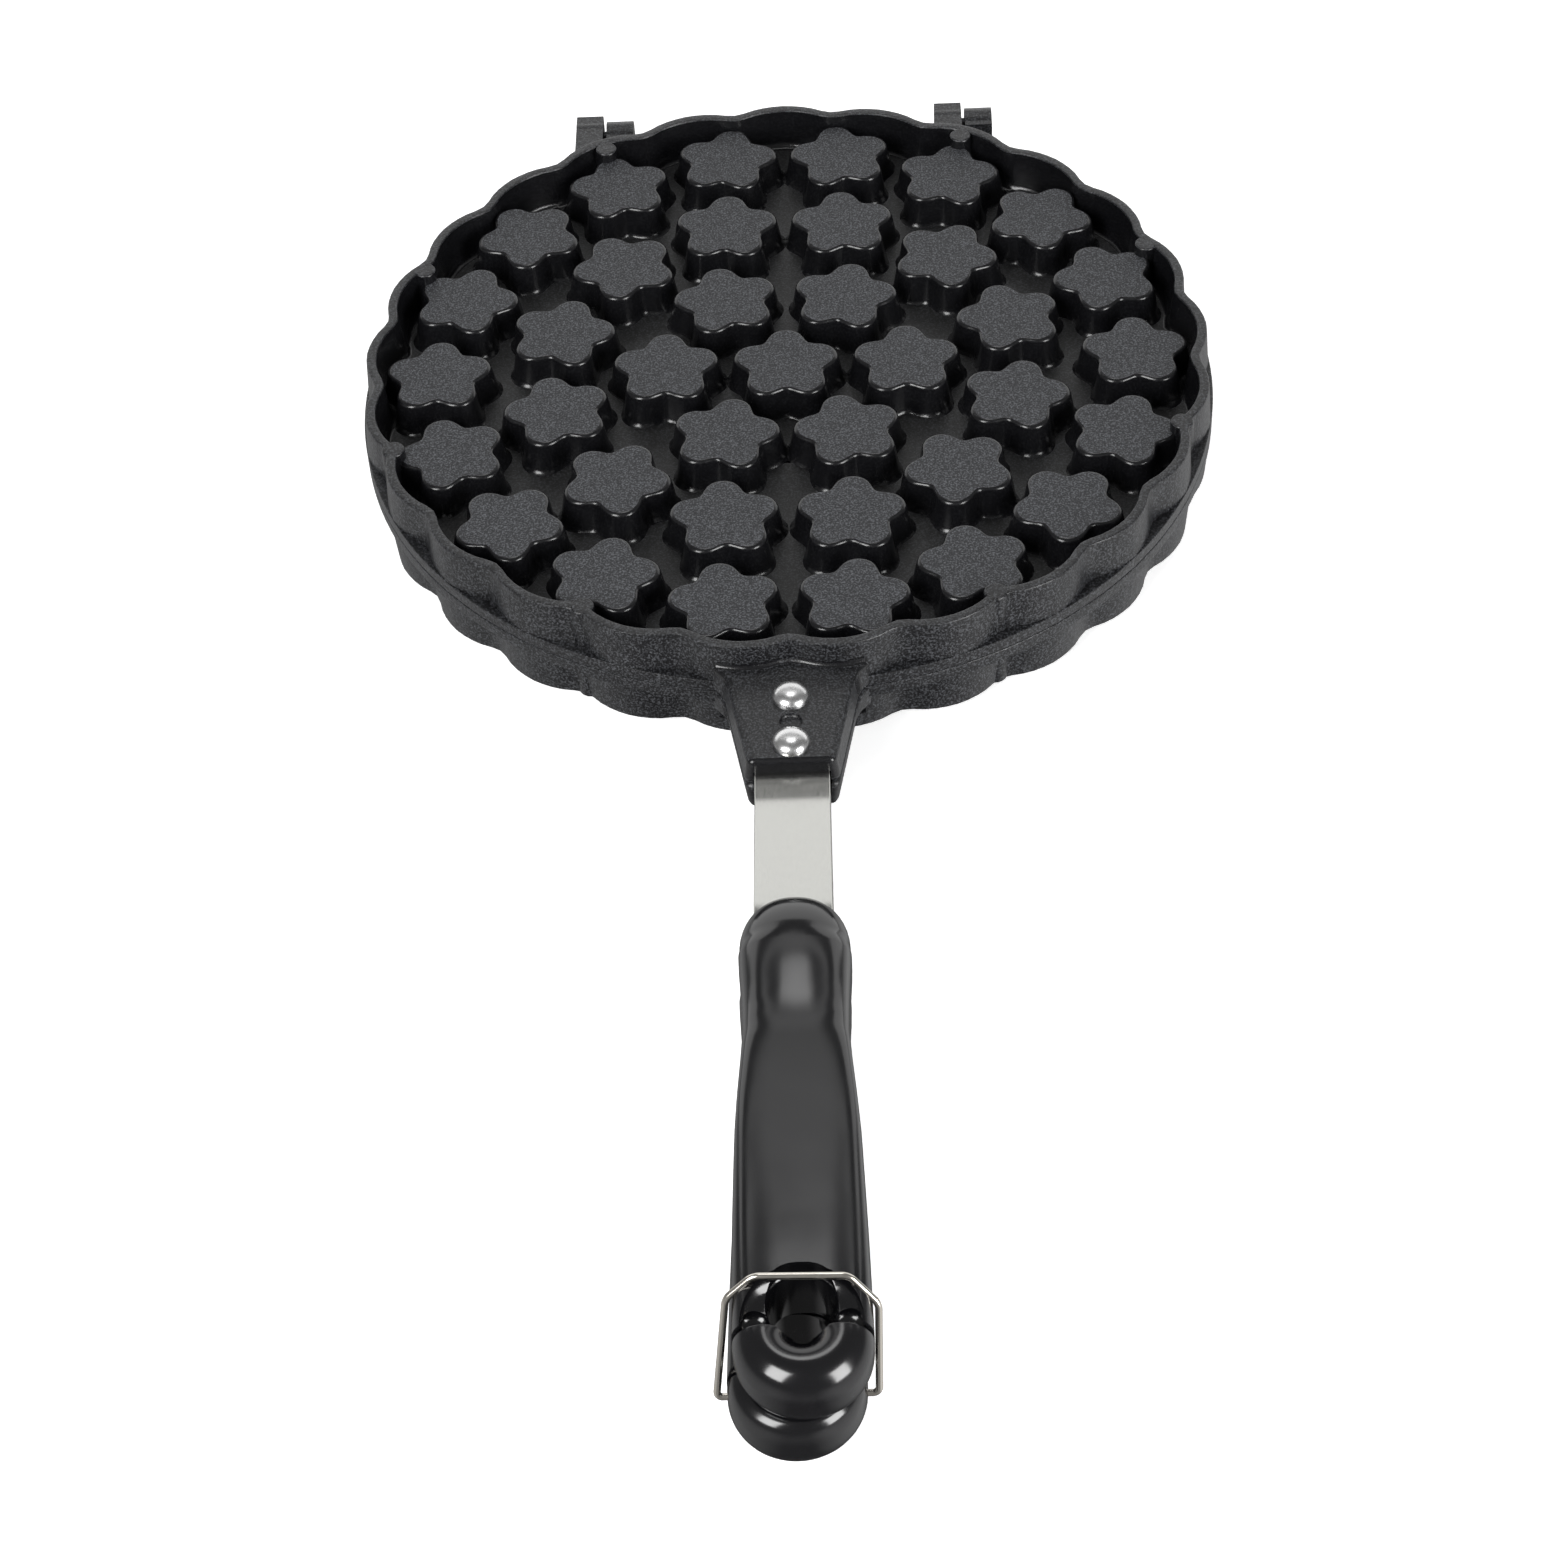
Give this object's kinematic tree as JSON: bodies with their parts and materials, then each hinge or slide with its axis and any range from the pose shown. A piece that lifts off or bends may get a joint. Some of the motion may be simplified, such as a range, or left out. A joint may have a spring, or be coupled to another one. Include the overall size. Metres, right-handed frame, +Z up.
{
  "type": "petal cake pan",
  "caption": "Hinged two-part stovetop cake iron with petal-shaped moulds, a scalloped rim, and two long handles held shut by a wire bail.",
  "frame": {"origin": "centre of the lower plate's flat rim, on the plane that the pan stands on when it is on a stove", "axes": "+Z up, through the closed pan towards the lid; +Y from the handles towards the hinges; +X to the right as seen from the handle end"},
  "size_m": [0.232, 0.4606, 0.0382],
  "materials": {
    "cast_coating": "cast aluminium under a baked dark grey non-stick coating, fine grained on the moulds and semi-gloss on the wall",
    "handle_plastic": "black phenolic plastic, polished",
    "strap_steel": "satin steel strip",
    "rivet_aluminium": "bright aluminium",
    "wire_steel": "bright plated steel wire",
    "pin_steel": "plain steel pin",
    "screw_steel": "zinc plated steel screw"
  },
  "bodies": {
    "lower": {"lower_plate": "cast_coating", "right_hinge_pin": "pin_steel", "lower_strap": "strap_steel", "lower_front_rivet": "rivet_aluminium", "lower_rear_rivet": "rivet_aluminium", "lower_handle": "handle_plastic", "lower_handle_screw": "screw_steel"},
    "upper": {"upper_plate": "cast_coating", "left_hinge_pin": "pin_steel", "upper_strap": "strap_steel", "upper_front_rivet": "rivet_aluminium", "upper_rear_rivet": "rivet_aluminium", "upper_handle": "handle_plastic", "upper_handle_screw": "screw_steel"},
    "bail": {"wire_bail": "wire_steel"}
  },
  "joints": [
    {"name": "lid_hinge", "type": "hinge", "parent": "lower", "child": "upper", "pos_m": [0, 0.1228, 0.015], "axis": [-1, 0, 0], "range_deg": [0, 180]},
    {"name": "bail_pivot", "type": "hinge", "parent": "lower", "child": "bail", "pos_m": [0, -0.318, 0.00575], "axis": [1, 0, 0], "range_deg": [0, 270]}
  ]
}
